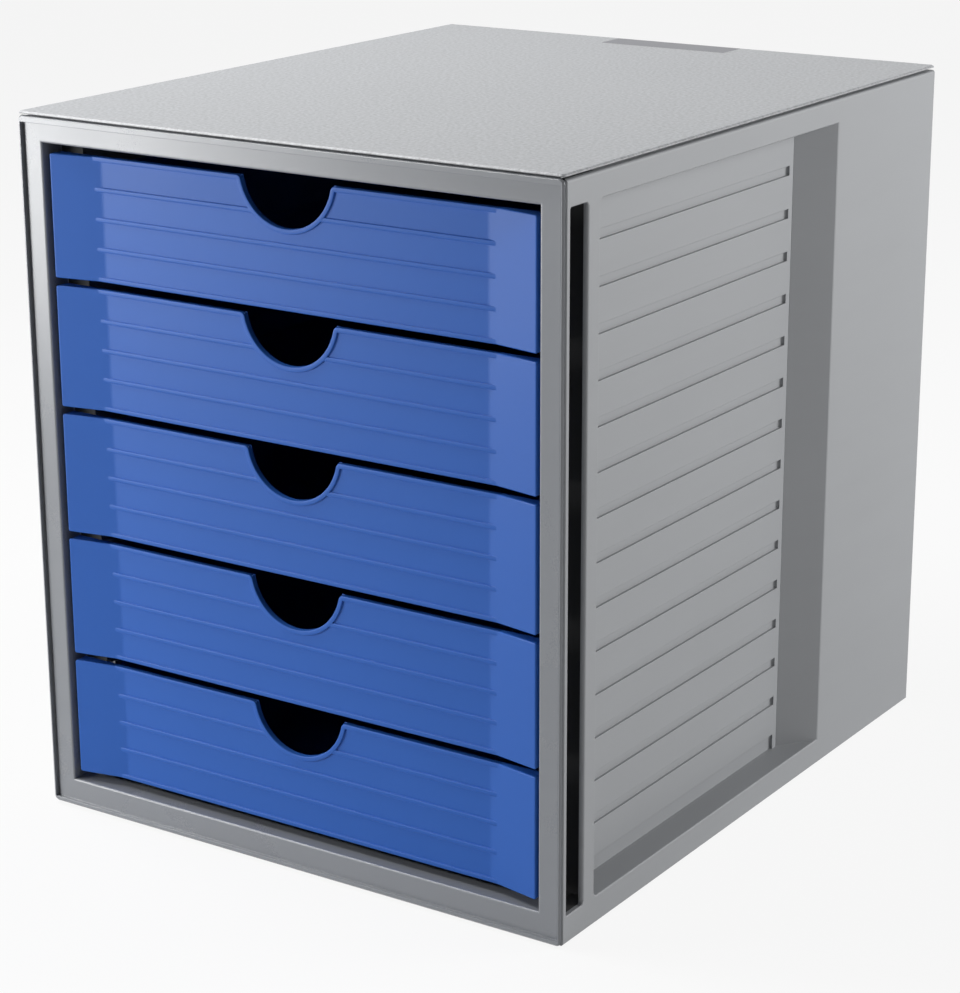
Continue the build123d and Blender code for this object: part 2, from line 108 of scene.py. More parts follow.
# --------------------------------------------------------------------------- nodes
class NodeTree:
    """Adds and joins the nodes of one tree."""

    def __init__(self, tree: bpy.types.NodeTree) -> None:
        """Keep the tree that nodes are added to.

        Args:
            tree: A shader tree or a geometry tree.
        """
        self.tree = tree

    def add(
        self, kind: str, inputs: dict[Any, Any] | None = None, **settings: Any
    ) -> bpy.types.Node:
        """Add one node.

        Args:
            kind: The node's type name.
            inputs: Values or sockets for its inputs, by name or index.
            **settings: Properties set on the node before its inputs.

        Returns:
            The new node.
        """
        node = self.tree.nodes.new(kind)
        for name, value in settings.items():
            setattr(node, name, value)
        for key, value in (inputs or {}).items():
            self.feed(node.inputs[key], value)
        return node

    def feed(self, socket: Socket, value: Any) -> None:
        """Give an input a value, or join it to another node's output.

        Args:
            socket: The input.
            value: A constant, or an output socket.
        """
        if isinstance(value, bpy.types.NodeSocket):
            self.tree.links.new(value, socket)
        else:
            socket.default_value = value

    def maths(self, operation: str, *values: Any) -> Socket:
        """Add a maths node.

        Args:
            operation: Blender's name of the operation.
            *values: One to three values or sockets.

        Returns:
            The result.
        """
        inputs = dict(enumerate(values))
        return self.add("ShaderNodeMath", inputs, operation=operation).outputs[0]

    def vector(self, x: Any = 0.0, y: Any = 0.0, z: Any = 0.0) -> Socket:
        """Make a vector of three values or sockets."""
        return self.add("ShaderNodeCombineXYZ", {0: x, 1: y, 2: z}).outputs[0]

    def noise(self, place: Socket, scale: float, detail: float) -> Socket:
        """Add a noise pattern.

        Args:
            place: The coordinates it reads.
            scale: Cells in a metre.
            detail: Octaves.

        Returns:
            The pattern, about 0.5 in the middle.
        """
        inputs = {"Vector": place, "Scale": scale, "Detail": detail}
        return self.add("ShaderNodeTexNoise", inputs).outputs[0]

    def centred(self, pattern: Socket) -> Socket:
        """Shift a pattern so that its middle is nought."""
        return self.maths("SUBTRACT", pattern, 0.5)

    def spread(self, pattern: Socket, amount: float) -> Socket:
        """Turn a pattern into a factor about one, of the given spread."""
        return self.maths("MULTIPLY_ADD", self.centred(pattern), 2 * amount, 1.0)

    def tinted(self, colour: Colour, factor: Socket) -> Socket:
        """Multiply a colour by a factor."""
        inputs = {0: colour, "Scale": factor}
        return self.add("ShaderNodeVectorMath", inputs, operation="SCALE").outputs[0]


def blank_material(name: str) -> tuple[bpy.types.Material, NodeTree]:
    """Make a material without nodes.

    Args:
        name: What it is called.

    Returns:
        The material and its tree.
    """
    material = bpy.data.materials.new(name)
    material.use_nodes = True
    material.node_tree.nodes.clear()
    return material, NodeTree(material.node_tree)


# ------------------------------------------------------------------------- finishes
@dataclass(frozen=True)
class PaintedShadeZone:
    """Space behind the side slots where shade is painted into the plastic's colour, alike on both
    sides.

    It reaches this far from the middle, back to its rear and down to its floor.
    """

    reach: float
    rear: float
    floor: float


# painted shade: the walls behind the side slots lose most of their colour, standing in for the
# shade inside the housing
PAINTED_SHADE_BEHIND_SLOT = PaintedShadeZone(135.3 * MM, -140.0 * MM, 10.0 * MM)
PAINTED_SHADE_LOSS = 0.92  # share of its colour that the plastic loses in the dark zone
PAINTED_SHADE_ROUGHNESS = 0.4  # added there
GRAIN_DETAIL = 2.0
CLOUD_SCALE = 14.0  # cells in a metre
CLOUD_DETAIL = 3.0
CLOUD_ROUGHNESS = 0.10  # how far roughness follows the clouds
STREAK_STRETCH = (3.0, 3.0, 24.0)  # streaks lie level
STREAK_SCALE = 4.0
STREAK_DETAIL = 2.0
STREAK_SHARE = 0.6  # of the mottle
GRAIN_ROUGHNESS = 0.12  # how far roughness follows the grain at most
GRAIN_ROUGHNESS_RATE = 4.0  # and by how much for each unit of speckle
EDGE_ROUGHNESS = -0.08  # edges are polished by wear
EDGE_LEAN_START, EDGE_LEAN_END = 0.01, 0.25  # where a lean starts to be an edge, and is one
BEVEL_SAMPLES = 6
PLASTIC_IOR = 1.5


@dataclass(frozen=True)
class PlasticFinish:
    """Moulded plastic with faint mottling, a moulded grain, edges lightened as wear and painted
    highlight, and painted shade in an optional zone.
    """

    name: str
    colour: Colour
    roughness: float
    grain: float = 0.5 * MM
    grain_depth: float = 0.02 * MM
    speckle: float = 0.03
    mottle: float = 0.05
    edge_width: float = 0.35 * MM
    # lightens edges in colour: partly wear, partly a painted highlight along rounded edges
    edge_wear_and_highlight: float = 0.10
    shine: float = 0.5
    # zone where shade is painted into the colour
    dark: PaintedShadeZone | None = None

    def material(self) -> bpy.types.Material:
        """Build the finish.

        Returns:
            A material that reads Object coordinates only.
        """
        material, tree = blank_material(self.name)
        place = tree.add("ShaderNodeTexCoord").outputs["Object"]
        grain = tree.noise(place, 1 / self.grain, GRAIN_DETAIL)
        clouds = tree.noise(place, CLOUD_SCALE, CLOUD_DETAIL)
        streaks = self.streaks(tree, place)
        edge = self.edge(tree)
        painted_shade = self.painted_shade(tree, place)

        tone = tree.spread(clouds, self.mottle)
        tone = tree.maths("MULTIPLY", tone, tree.spread(grain, self.speckle))
        tone = tree.maths("MULTIPLY", tone, tree.spread(streaks, self.mottle * STREAK_SHARE))
        # edges lightened: wear and painted highlight
        tone = tree.maths("MULTIPLY_ADD", edge, self.edge_wear_and_highlight, tone)
        # painted shade: most of the colour is taken away in the zone behind the slots
        tone = tree.maths("MULTIPLY", tone, tree.maths("MULTIPLY_ADD", painted_shade, -PAINTED_SHADE_LOSS, 1.0))

        grainy = min(GRAIN_ROUGHNESS, GRAIN_ROUGHNESS_RATE * self.speckle)
        rough = tree.maths("MULTIPLY_ADD", tree.centred(clouds), CLOUD_ROUGHNESS, self.roughness)
        rough = tree.maths("MULTIPLY_ADD", tree.centred(grain), grainy, rough)
        rough = tree.maths("MULTIPLY_ADD", edge, EDGE_ROUGHNESS, rough)
        rough = tree.maths("MULTIPLY_ADD", painted_shade, PAINTED_SHADE_ROUGHNESS, rough)
        bump = tree.add(
            "ShaderNodeBump",
            {
                "Strength": 1.0,
                "Distance": self.grain_depth,
                "Height": grain,
                "Normal": self.rounded(tree, self.edge_width),
            },
        ).outputs[0]
        shader = tree.add(
            "ShaderNodeBsdfPrincipled",
            {"Base Color": tree.tinted(self.colour, tone), "Roughness": rough, "Normal": bump},
        )
        shader.inputs["IOR"].default_value = PLASTIC_IOR
        shader.inputs["Specular IOR Level"].default_value = self.shine
        tree.add("ShaderNodeOutputMaterial", {"Surface": shader.outputs[0]})
        return material

    @staticmethod
    def streaks(tree: NodeTree, place: Socket) -> Socket:
        """Long faint streaks, as the melt leaves when it fills the mould."""
        turned = tree.add("ShaderNodeMapping", {"Vector": place, "Scale": STREAK_STRETCH})
        return tree.noise(turned.outputs[0], STREAK_SCALE, STREAK_DETAIL)

    @staticmethod
    def rounded(tree: NodeTree, radius: float) -> Socket:
        """Normal of the surface with its edges rounded."""
        return tree.add("ShaderNodeBevel", {"Radius": radius}, samples=BEVEL_SAMPLES).outputs[0]

    def painted_shade(self, tree: NodeTree, place: Socket) -> Socket | float:
        """Find where shade is painted into the colour.

        Args:
            tree: Where the nodes go.
            place: The coordinates it reads.

        Returns:
            One where shade is painted, and nought elsewhere.
        """
        if self.dark is None:
            return 0.0
        x, y, z = tree.add("ShaderNodeSeparateXYZ", {0: place}).outputs
        inside = tree.maths("LESS_THAN", tree.maths("ABSOLUTE", x), self.dark.reach)
        ahead = tree.maths("LESS_THAN", y, self.dark.rear)
        above = tree.maths("GREATER_THAN", z, self.dark.floor)
        return tree.maths("MULTIPLY", tree.maths("MULTIPLY", inside, ahead), above)

    def edge(self, tree: NodeTree) -> Socket:
        """Find edges by how far a rounded normal leans from the true one.

        Args:
            tree: Where the nodes go.

        Returns:
            About one along an edge and nought on a flat.
        """
        normals = {
            0: self.rounded(tree, 2 * self.edge_width),
            1: tree.add("ShaderNodeNewGeometry").outputs["Normal"],
        }
        same = tree.add("ShaderNodeVectorMath", normals, operation="DOT_PRODUCT").outputs["Value"]
        lean = tree.maths("SUBTRACT", 1.0, same)
        return tree.add(
            "ShaderNodeMapRange",
            {"Value": lean, "From Min": EDGE_LEAN_START, "From Max": EDGE_LEAN_END},
        ).outputs[0]


@dataclass(frozen=True)
class RubberFinish:
    """Matt black rubber with a fine pebbled skin."""

    name: str
    colour: Colour
    pebble: float = 0.6 * MM
    pebble_depth: float = 0.05 * MM
    pebble_tone: tuple[float, float] = (0.5, 0.8)  # rise over a pebble, and base
    pebble_roughness: tuple[float, float] = (0.15, 0.75)  # likewise

    def material(self) -> bpy.types.Material:
        """Build the finish.

        Returns:
            A material that reads Object coordinates only.
        """
        material, tree = blank_material(self.name)
        place = tree.add("ShaderNodeTexCoord").outputs["Object"]
        cells = tree.add(
            "ShaderNodeTexVoronoi", {"Vector": place, "Scale": 1 / self.pebble}
        ).outputs["Distance"]
        tone = tree.maths("MULTIPLY_ADD", cells, *self.pebble_tone)
        rough = tree.maths("MULTIPLY_ADD", cells, *self.pebble_roughness)
        bump = tree.add("ShaderNodeBump", {"Distance": self.pebble_depth, "Height": cells})
        shader = tree.add(
            "ShaderNodeBsdfPrincipled",
            {
                "Base Color": tree.tinted(self.colour, tone),
                "Roughness": rough,
                "Normal": bump.outputs[0],
            },
        )
        tree.add("ShaderNodeOutputMaterial", {"Surface": shader.outputs[0]})
        return material


FINISHES = {
    Slot.FRAME: PlasticFinish(
        "frame satin grey",
        linear(136, 139, 144),
        roughness=0.28,
        grain=0.35 * MM,
        grain_depth=0.001 * MM,
        speckle=0.004,
        mottle=0.03,
        edge_wear_and_highlight=0.14,
        shine=0.7,
    ),
    Slot.SHELL: PlasticFinish(
        "shell matt grey",
        linear(150, 152, 155),
        roughness=0.52,
        grain=0.45 * MM,
        grain_depth=0.018 * MM,
        speckle=0.03,
        mottle=0.04,
        edge_width=0.2 * MM,
        edge_wear_and_highlight=0.25,
        # painted shade behind the side slots
        dark=PAINTED_SHADE_BEHIND_SLOT,
    ),
    Slot.RUNNER: PlasticFinish(
        "runner matt grey",
        linear(150, 152, 155),
        roughness=0.50,
        grain=0.45 * MM,
        grain_depth=0.014 * MM,
        speckle=0.02,
        mottle=0.04,
        # painted shade behind the side slots
        dark=PAINTED_SHADE_BEHIND_SLOT,
    ),
    Slot.LID: PlasticFinish(
        "lid sanded grey",
        linear(158, 160, 163),
        roughness=0.44,
        grain=1.6 * MM,
        grain_depth=0.22 * MM,
        speckle=0.6,
        mottle=0.04,
        shine=0.6,
    ),
    Slot.DRAWER: PlasticFinish(
        "drawer satin blue",
        linear(43, 95, 180),
        roughness=0.42,
        grain=0.40 * MM,
        grain_depth=0.008 * MM,
        speckle=0.02,
        mottle=0.03,
        edge_width=0.12 * MM,
        edge_wear_and_highlight=0.18,
        shine=0.25,
    ),
    Slot.PLATE: PlasticFinish(
        "plate dark grey",
        linear(108, 109, 114),
        roughness=0.45,
        grain=0.3 * MM,
        grain_depth=0.006 * MM,
    ),
    Slot.FOOT: RubberFinish("foot black rubber", linear(34, 34, 36)),
}


class Wardrobe:
    """Makes each finish once and dresses pieces in it."""

    def __init__(self) -> None:
        """Build every finish."""
        self.materials = {slot: finish.material() for slot, finish in FINISHES.items()}

    def dress(self, piece: bpy.types.Object, slot: Slot) -> None:
        """Give a piece one finish all over.

        Args:
            piece: The object to dress.
            slot: Which finish it takes.
        """
        piece.data.materials.clear()
        piece.data.materials.append(self.materials[slot])


# -------------------------------------------------------------------------- housing
class Housing:
    """The grey housing, whose solids are right as they come and only take a finish."""

    @staticmethod
    def finishes() -> dict[str, Slot]:
        """Choose the finish that each solid of the housing takes.

        Returns:
            The finishes, by the names of the solids.
        """
        feet = {name: Slot.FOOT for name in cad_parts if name.startswith("foot_")}
        return {
            "front_frame": Slot.FRAME,
            "left_side_panel": Slot.SHELL,
            "right_side_panel": Slot.SHELL,
            "left_runner_wall": Slot.RUNNER,
            "right_runner_wall": Slot.RUNNER,
            "top_panel": Slot.LID,
            "bottom_panel": Slot.SHELL,
            "back_panel": Slot.SHELL,
            "name_plate": Slot.PLATE,
            **feet,
        }

    def build(self, wardrobe: Wardrobe) -> None:
        """Dress every solid of the housing.

        Args:
            wardrobe: The finishes.
        """
        for name, slot in self.finishes().items():
            wardrobe.dress(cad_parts[name], slot)
            LOG.info("%s: %s", name, slot.value)


class RibTree:
    """Geometry tree that lays a border and ribs on a drawer front and lifts the drawer."""

    SIZES = (
        "Lift",
        "Face",
        "Top",
        "Half length",
        "Rib height",
        "Rib pitch",
        "Root",
        "Rib proud",
        "Border proud",
        "Rib edge",
        "Border edge",
        "Grip radius",
        "Grip centre",
        "Grip corner",
    )

    def __init__(self, rows: int, arc_steps: int = 22, corner_steps: int = 5) -> None:
        """Build the tree.

        Args:
            rows: Ribs below the border.
            arc_steps: Steps from the bottom of the grip to one of its corners.
            corner_steps: Steps round each corner of the grip.
        """
        self.tree = bpy.data.node_groups.new("drawer ribs", "GeometryNodeTree")
        self.sockets: dict[str, str] = {}
        self.nodes = NodeTree(self.tree)
        self.socket("Drawer", "NodeSocketGeometry")
        for name in self.SIZES:
            self.socket(name, "NodeSocketFloat")
        self.socket("Finish", "NodeSocketMaterial")
        self.tree.interface.new_socket(
            name="Drawer", in_out="OUTPUT", socket_type="NodeSocketGeometry"
        )
        self.size = self.nodes.add("NodeGroupInput").outputs
        border = self.sweep(self.border_path(arc_steps, corner_steps), self.bead("Border"))
        self.finish([self.size["Drawer"], border, *self.ribs(rows)])

    def socket(self, name: str, kind: str) -> None:
        """Add a named input and note its identifier."""
        item = self.tree.interface.new_socket(name=name, in_out="INPUT", socket_type=kind)
        self.sockets[name] = item.identifier

    def row(self, half: int) -> tuple[Socket, Socket, Socket]:
        """Lay out points that a rule then places, counted from the middle one.

        Args:
            half: How many points lie on each side of the middle one.

        Returns:
            The points as a curve, each one's side (-1, 0 or 1) and its count.
        """
        line = self.nodes.add("GeometryNodeCurvePrimitiveLine").outputs[0]
        count = 2 * half + 1
        points = self.nodes.add("GeometryNodeResampleCurve", {"Curve": line, "Count": count})
        index = self.nodes.add("GeometryNodeInputIndex").outputs[0]
        offset = self.nodes.maths("SUBTRACT", index, float(half))
        side = self.nodes.maths("SIGN", offset)
        return points.outputs[0], side, self.nodes.maths("ABSOLUTE", offset)

    def share(self, count: Socket, start: float, end: float) -> Socket:
        """Go from nought to one while a count goes from start to end."""
        return self.nodes.add(
            "ShaderNodeMapRange", {"Value": count, "From Min": start, "From Max": end}
        ).outputs[0]

    def past(self, count: Socket, step: int) -> Socket:
        """One for the points past a step, nought for the others."""
        return self.nodes.maths("GREATER_THAN", count, step + 0.5)

    def pick(self, chosen: Socket, without: Any, given: Any) -> Socket:
        """Take one value where chosen is nought and the other where it is one."""
        step = self.nodes.maths("SUBTRACT", given, without)
        return self.nodes.maths("MULTIPLY_ADD", step, chosen, without)

    def placed(self, curve: Socket, x: Any, y: Any, z: Any) -> Socket:
        """Move each point of a curve to its own place."""
        inputs = {"Geometry": curve, "Position": self.nodes.vector(x, y, z)}
        return self.nodes.add("GeometryNodeSetPosition", inputs).outputs[0]

    def border_path(self, arc_steps: int, corner_steps: int) -> Socket:
        """Line along the top of the front that dips round the finger grip.

        Args:
            arc_steps: Steps from the bottom of the grip to one of its corners.
            corner_steps: Steps round each corner.

        Returns:
            The middle line of the border, as a curve.
        """
        maths = self.nodes.maths
        line, side, count = self.row(arc_steps + corner_steps + 1)
        radius, corner = self.size["Grip radius"], self.size["Grip corner"]
        top = maths("MULTIPLY_ADD", self.size["Rib height"], -0.5, self.size["Top"])
        reach = maths("ADD", radius, corner)
        rise = maths("ADD", maths("SUBTRACT", self.size["Grip centre"], top), corner)
        sweep = maths("ARCCOSINE", maths("DIVIDE", rise, reach))
        corner_x = maths("MULTIPLY", reach, maths("SINE", sweep))

        angle = maths("MULTIPLY", sweep, self.share(count, 0.0, arc_steps))
        arc_x = maths("MULTIPLY", radius, maths("SINE", angle))
        arc_drop = maths("MULTIPLY", radius, maths("COSINE", angle))
        arc_z = maths("SUBTRACT", self.size["Grip centre"], arc_drop)

        left = self.share(count, arc_steps + corner_steps, arc_steps)
        turn = maths("MULTIPLY", sweep, left)
        turn_x = maths("SUBTRACT", corner_x, maths("MULTIPLY", corner, maths("SINE", turn)))
        drop = maths("SUBTRACT", maths("COSINE", turn), 1.0)
        turn_z = maths("MULTIPLY_ADD", corner, drop, top)

        turning = self.past(count, arc_steps)
        ending = self.past(count, arc_steps + corner_steps)
        x = self.pick(ending, self.pick(turning, arc_x, turn_x), self.size["Half length"])
        z = self.pick(ending, self.pick(turning, arc_z, turn_z), top)
        return self.placed(line, maths("MULTIPLY", side, x), self.size["Face"], z)

    def bead(self, strip: str, edge_steps: int = 4) -> Socket:
        """Section of a raised strip, rounded at the front, whose root is in the wall.

        Args:
            strip: "Rib" or "Border", whose sizes it takes.
            edge_steps: Steps round each of its front edges.

        Returns:
            A closed curve, proud of the wall along X and as high as a rib along Y.
        """
        maths = self.nodes.maths
        edge, proud = self.size[f"{strip} edge"], self.size[f"{strip} proud"]
        line, side, count = self.row(edge_steps + 2)
        angle = maths("MULTIPLY", self.share(count, 1.0, 1.0 + edge_steps), math.pi / 2)
        flat = maths("MULTIPLY_ADD", self.size["Rib height"], 0.5, maths("MULTIPLY", edge, -1.0))
        away = maths("MULTIPLY_ADD", edge, maths("SINE", angle), flat)
        sunk = maths("SUBTRACT", maths("COSINE", angle), 1.0)
        front = maths("MULTIPLY_ADD", edge, sunk, proud)
        root = maths("MULTIPLY", self.size["Root"], -1.0)
        x = self.pick(self.past(count, edge_steps + 1), front, root)
        section = self.placed(line, x, maths("MULTIPLY", side, away), 0.0)
        return self.nodes.add(
            "GeometryNodeSetSplineCyclic", {"Geometry": section, "Cyclic": True}
        ).outputs[0]

    def sweep(self, path: Socket, section: Socket) -> Socket:
        """Carry a section along a path, its X towards the front, and close the ends.

        Args:
            path: A curve along the front.
            section: A closed curve.

        Returns:
            The strip, as a closed mesh.
        """
        upright = self.nodes.add("GeometryNodeSetCurveNormal", {"Curve": path}, mode="Z_UP")
        return self.nodes.add(
            "GeometryNodeCurveToMesh",
            {"Curve": upright.outputs[0], "Profile Curve": section, "Fill Caps": True},
        ).outputs[0]

    def ribs(self, rows: int) -> list[Socket]:
        """Lay out the ribs, in two halves where the grip's border cuts them.

        Args:
            rows: How many ribs there are.

        Returns:
            Instances of a rib one metre long, stretched to fit.
        """
        maths = self.nodes.maths
        ends = {"Start": (0, 0, 0), "End": (1, 0, 0)}
        line = self.nodes.add("GeometryNodeCurvePrimitiveLine", ends).outputs[0]
        unit = self.sweep(line, self.bead("Rib"))
        lowest = maths("MULTIPLY", self.size["Rib height"], 0.5)
        first = self.nodes.vector(0.0, self.size["Face"], lowest)
        step = self.nodes.vector(0.0, 0.0, self.size["Rib pitch"])
        points = self.nodes.add(
            "GeometryNodeMeshLine", {"Count": rows, "Start Location": first, "Offset": step}
        ).outputs[0]
        place = self.nodes.add("GeometryNodeInputPosition").outputs[0]
        height = self.nodes.add("ShaderNodeSeparateXYZ", {0: place}).outputs["Z"]
        below = maths("POWER", maths("SUBTRACT", self.size["Grip centre"], height), 2.0)
        room = maths("SUBTRACT", maths("POWER", self.size["Grip radius"], 2.0), below)
        reach = maths("SQRT", maths("MAXIMUM", room, 0.0))
        cut = maths("GREATER_THAN", reach, 0.0)
        half = self.size["Half length"]
        length = self.pick(cut, maths("MULTIPLY", half, 2.0), maths("SUBTRACT", half, reach))
        left = self.stretched(points, unit, maths("MULTIPLY", half, -1.0), length, True)
        right = self.stretched(points, unit, reach, length, cut)
        return [left, right]

    def stretched(
        self, points: Socket, unit: Socket, x: Socket, length: Socket, chosen: Socket | bool
    ) -> Socket:
        """Put a rib on each chosen point.

        Args:
            points: The points, one above the other.
            unit: A rib one metre long.
            x: Where the rib's left end goes.
            length: How long it becomes.
            chosen: Which points get a rib.

        Returns:
            The ribs, as instances.
        """
        shift = {"Geometry": points, "Offset": self.nodes.vector(x)}
        return self.nodes.add(
            "GeometryNodeInstanceOnPoints",
            {
                "Points": self.nodes.add("GeometryNodeSetPosition", shift).outputs[0],
                "Selection": chosen,
                "Instance": unit,
                "Scale": self.nodes.vector(length, 1.0, 1.0),
            },
        ).outputs[0]

    def finish(self, parts: list[Socket]) -> None:
        """Join the parts, lift them, make them real and give them their finish.

        Args:
            parts: The drawer, its border and its ribs.
        """
        join = self.nodes.add("GeometryNodeJoinGeometry")
        for part in reversed(parts):
            self.tree.links.new(part, join.inputs[0])
        lift = self.nodes.vector(0.0, 0.0, self.size["Lift"])
        lifted = self.nodes.add(
            "GeometryNodeTransform", {"Geometry": join.outputs[0], "Translation": lift}
        )
        real = self.nodes.add("GeometryNodeRealizeInstances", {"Geometry": lifted.outputs[0]})
        dressed = self.nodes.add(
            "GeometryNodeSetMaterial",
            {"Geometry": real.outputs[0], "Material": self.size["Finish"]},
        )
        self.nodes.add("NodeGroupOutput", {0: dressed.outputs[0]})


WELD = 0.001 * MM  # points this close are one
CUT_REACH = 0.0001 * MM  # points this close to a cut lie on it
SHARP_ANGLE = 30.0  # degrees between faces from which an edge stays sharp


@dataclass
class Drawers:
    """The five drawers: ribbed fronts with forward wings, and the trays behind them.

    The width, the height and the place of the wings' ends come from the frame.
    """

    count: int = 5
    wing_width: float = 25.2 * MM
    wing_depth: float = 4.8 * MM
    wing_blend: float = 12.0 * MM
    wall: float = 2.0 * MM
    end_edge: float = 1.0 * MM
    corner: float = 1.2 * MM
    edge: float = 0.35 * MM
    rib_rows: int = 4
    rib_height: float = 2.1 * MM
    rib_proud: float = 0.7 * MM
    border_proud: float = 0.75 * MM
    rib_edge: float = 0.45 * MM
    rib_sink: float = 5.0 * MM
    grip_radius: float = 23.4 * MM
    grip_rise: float = 3.4 * MM
    grip_corner: float = 1.1 * MM
    lap: float = 0.3 * MM
    border_lap: float = 0.25 * MM
    grip_steps: int = 24
    blend_steps: int = 8
    corner_steps: int = 6

    def __post_init__(self) -> None:
        """Read the front's size from the lowest drawer of the frame."""
        low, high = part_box(self.name(self.count - 1))
        self.floor = low.z
        self.half = high.x
        self.height = high.z - low.z
        self.wing_y = low.y
        self.middle_y = self.wing_y + self.wing_depth
        self.back_y = self.middle_y + self.wall
        self.root = self.half - self.wing_width
        self.slope = math.atan(self.wing_depth / self.wing_width)
        self.blend_start = self.root - self.wing_blend * math.tan(self.slope / 2)
        self.blend_length = self.wing_blend * math.sin(self.slope)

    @staticmethod
    def name(index: int) -> str:
        """Name of the drawer and of its body, counted from the top."""
        return f"drawer_{index + 1}"

    def face(self, away: float) -> float:
        """How far to the front the face lies.

        Args:
            away: Distance from the middle of the front.

        Returns:
            The face's Y there.
        """
        along = away - self.blend_start
        if along <= 0:
            y = self.middle_y
        elif along < self.blend_length:
            y = self.middle_y - self.wing_blend + math.sqrt(self.wing_blend**2 - along**2)
        else:
            y = self.middle_y - math.tan(self.slope) * (away - self.root)
        past = max(0.0, away - (self.half - self.end_edge))
        return y + self.end_edge - math.sqrt(max(0.0, self.end_edge**2 - past**2))

    def low(self, away: float) -> float:
        """Height of the front's lower edge, which rises round the corner."""
        past = max(0.0, away - (self.half - self.corner))
        return self.corner - math.sqrt(max(0.0, self.corner**2 - past**2))

    def top(self, away: float) -> float:
        """Height of the front's upper edge, which dips under the grip's border.

        Args:
            away: Distance from the middle of the front.

        Returns:
            The height above the front's lower edge.
        """
        under_border = away < self.rib_end() - self.lap
        top = self.height - (self.border_lap if under_border else self.low(away))
        radius = self.grip_radius + self.border_lap
        if away < radius:
            dip = self.height + self.grip_rise - math.sqrt(radius**2 - away**2)
            top = min(top, dip)
        return top

    def rib_end(self) -> float:
        """How far from the middle a rib ends, inside the foot of a wing."""
        return self.root + self.rib_sink

    def section(self, x: float, cored: bool) -> list[Vector]:
        """Cut through the front across X.

        Args:
            x: Where the cut is.
            cored: Whether the hollow behind a wing shows in the cut.

        Returns:
            Corners of the cut, in order.
        """
        away = abs(x)
        front, low, top = self.face(away), self.low(away), self.top(away)
        core = back = self.back_y - self.lap / 2
        if cored:
            core = min(back, self.back_y - math.tan(self.slope) * (away - self.root))
        core_top = min(self.height - self.wall, top - 2 * self.edge)
        corners = [
            (back, low),
            (front + self.edge, low),
            (front, low + self.edge),
            (front, top - self.edge),
            (front + self.edge, top),
            (back, top),
            (back, core_top),
            (core, core_top),
            (core, self.wall),
            (back, self.wall),
        ]
        return [Vector((x, y, z)) for y, z in corners]

    def stations(self) -> list[tuple[float, bool]]:
        """Places of the cuts from the left end to the right end.

        Returns:
            Each cut's X, and whether the hollow behind a wing shows in it.
        """
        radius = self.grip_radius + self.border_lap
        sweep = math.acos(self.grip_rise / radius)
        places = []
        for step in range(1, self.grip_steps + 1):
            places.append((radius * math.sin(sweep * step / self.grip_steps), False))
        for step in range(self.blend_steps + 1):
            x = self.blend_start + self.blend_length * step / self.blend_steps
            places.append((x, x > self.root))
        # The upper edge steps up between these two, just inside the border's end.
        places.append((self.rib_end() - 1.5 * self.lap, True))
        places.append((self.rib_end() - 0.5 * self.lap, True))
        outer = self.half - self.wall
        places += [(outer, True), (outer, False)]
        for step in range(self.corner_steps + 1):
            lean = math.radians(90 * step / self.corner_steps)
            places.append((self.half - self.corner * (1 - math.sin(lean)), False))
        left = [(-x, cored) for x, cored in reversed(places)]
        return [*left, (0.0, False), *places]

    def front(self, mesh: bmesh.types.BMesh) -> None:
        """Add the plain front: a flat middle, forward wings and the cut for the grip.

        Args:
            mesh: Where it goes, its lower edge at height nought.
        """
        rings = []
        for place in self.stations():
            rings.append([mesh.verts.new(point) for point in self.section(*place)])
        for ring, following in zip(rings, rings[1:]):
            for index, vertex in enumerate(ring):
                after = (index + 1) % len(ring)
                mesh.faces.new((vertex, ring[after], following[after], following[index]))
        mesh.faces.new(rings[0])
        mesh.faces.new(rings[-1])
        vertices = [vertex for ring in rings for vertex in ring]
        bmesh.ops.remove_doubles(mesh, verts=vertices, dist=WELD)

    def tray(self, mesh: bmesh.types.BMesh) -> None:
        """Add the tray, which keeps the solid's walls, flanges and stop lugs.

        Args:
            mesh: An empty mesh.
        """
        mesh.from_mesh(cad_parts[self.name(self.count - 1)].data)
        bmesh.ops.remove_doubles(mesh, verts=mesh.verts, dist=WELD)
        bmesh.ops.translate(mesh, verts=mesh.verts, vec=(0.0, 0.0, -self.floor))
        cut = bmesh.ops.bisect_plane(
            mesh,
            geom=[*mesh.verts, *mesh.edges, *mesh.faces],
            dist=CUT_REACH,
            plane_co=(0.0, self.back_y - self.lap, 0.0),
            plane_no=(0.0, 1.0, 0.0),
            clear_inner=True,
        )
        rim = [part for part in cut["geom_cut"] if isinstance(part, bmesh.types.BMEdge)]
        bmesh.ops.triangle_fill(mesh, use_beauty=True, edges=rim, normal=(0.0, -1.0, 0.0))

    def plain(self) -> bpy.types.Mesh:
        """Make a drawer without ribs.

        Returns:
            Its mesh, the lower edge of its front at height nought.
        """
        work = bmesh.new()
        self.tray(work)
        self.front(work)
        mesh = bpy.data.meshes.new("plain drawer")
        work.to_mesh(mesh)
        work.free()
        return mesh

    def sizes(self) -> dict[str, float]:
        """List the sizes that the rib tree takes.

        Returns:
            The sizes, by the names of the tree's inputs.
        """
        return {
            "Face": self.middle_y,
            "Top": self.height,
            "Half length": self.rib_end(),
            "Rib height": self.rib_height,
            "Rib pitch": (self.height - self.rib_height) / self.rib_rows,
            "Root": self.wall - self.lap / 2,
            "Rib proud": self.rib_proud,
            "Border proud": self.border_proud,
            "Rib edge": self.rib_edge,
            "Border edge": self.edge,
            "Grip radius": self.grip_radius + self.rib_height / 2,
            "Grip centre": self.height + self.grip_rise,
            "Grip corner": self.grip_corner,
        }

